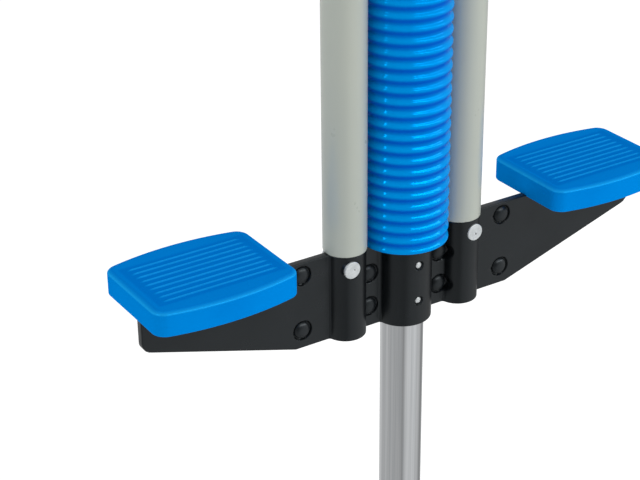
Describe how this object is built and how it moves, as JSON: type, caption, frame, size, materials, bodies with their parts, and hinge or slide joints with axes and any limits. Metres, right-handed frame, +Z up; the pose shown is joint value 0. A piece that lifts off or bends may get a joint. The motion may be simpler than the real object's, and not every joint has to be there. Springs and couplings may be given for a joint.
{
  "type": "pogo stick",
  "caption": "Pogo stick with a twin-tube frame, foot pedals on a pressed bracket, foam handlebar grips and a sprung shaft inside a ribbed sleeve.",
  "frame": {"origin": "on the ground under the middle of the rubber foot, on the shaft's axis", "axes": "+Z up along the shaft, +X along the pedals and handlebar, +Y towards the rider's back"},
  "size_m": [0.346, 0.0638, 0.931],
  "materials": {
    "tube_paint": "satin",
    "black_paint": "satin",
    "black_rivet": "satin",
    "zinc": "dull plated",
    "chrome": "polished",
    "spring_steel": "oiled",
    "blue_plastic": "moulded, low gloss",
    "blue_sleeve": "glossy",
    "nylon": "natural",
    "black_plastic": "moulded",
    "rubber": "matt",
    "foam": "soft foam"
  },
  "bodies": {
    "frame": {"left_side_tube": "tube_paint", "right_side_tube": "tube_paint", "lower_bracket_front": "black_paint", "lower_bracket_rear": "black_paint", "upper_bracket_front": "black_paint", "upper_bracket_rear": "black_paint", "lower_bracket_rivets": "black_rivet", "upper_bracket_rivets": "black_rivet", "lower_tube_rivets": "zinc", "upper_tube_rivets": "zinc", "lower_bush_pins": "zinc", "upper_bush_pins": "zinc", "lower_guide_bush": "nylon", "upper_guide_bush": "nylon", "left_pedal": "blue_plastic", "right_pedal": "blue_plastic", "pedal_screws": "zinc", "spring_sleeve": "blue_sleeve", "topout_bumper": "rubber", "upper_spring_washer": "zinc", "main_spring": "spring_steel", "left_grip": "foam", "right_grip": "foam", "left_end_cap": "black_plastic", "right_end_cap": "black_plastic"},
    "spring_seat_washer": {"spring_seat": "zinc"},
    "shaft": {"shaft_tube": "chrome", "shaft_collar": "zinc", "cross_pin": "zinc", "shaft_top_cap": "black_plastic", "rubber_foot": "rubber", "foot_plate": "zinc"}
  },
  "joints": [
    {"name": "shaft_slide", "type": "slide", "parent": "frame", "child": "spring_seat_washer", "axis": [0, 0, 1], "range_m": [0, 0.105], "stiffness_N_per_m": 6000, "springref_m": -0.02, "deforming": ["main_spring"]},
    {"name": "shaft_spin", "type": "hinge", "parent": "spring_seat_washer", "child": "shaft", "pos_m": [0, 0, 0.3], "axis": [0, 0, 1], "continuous": true}
  ]
}
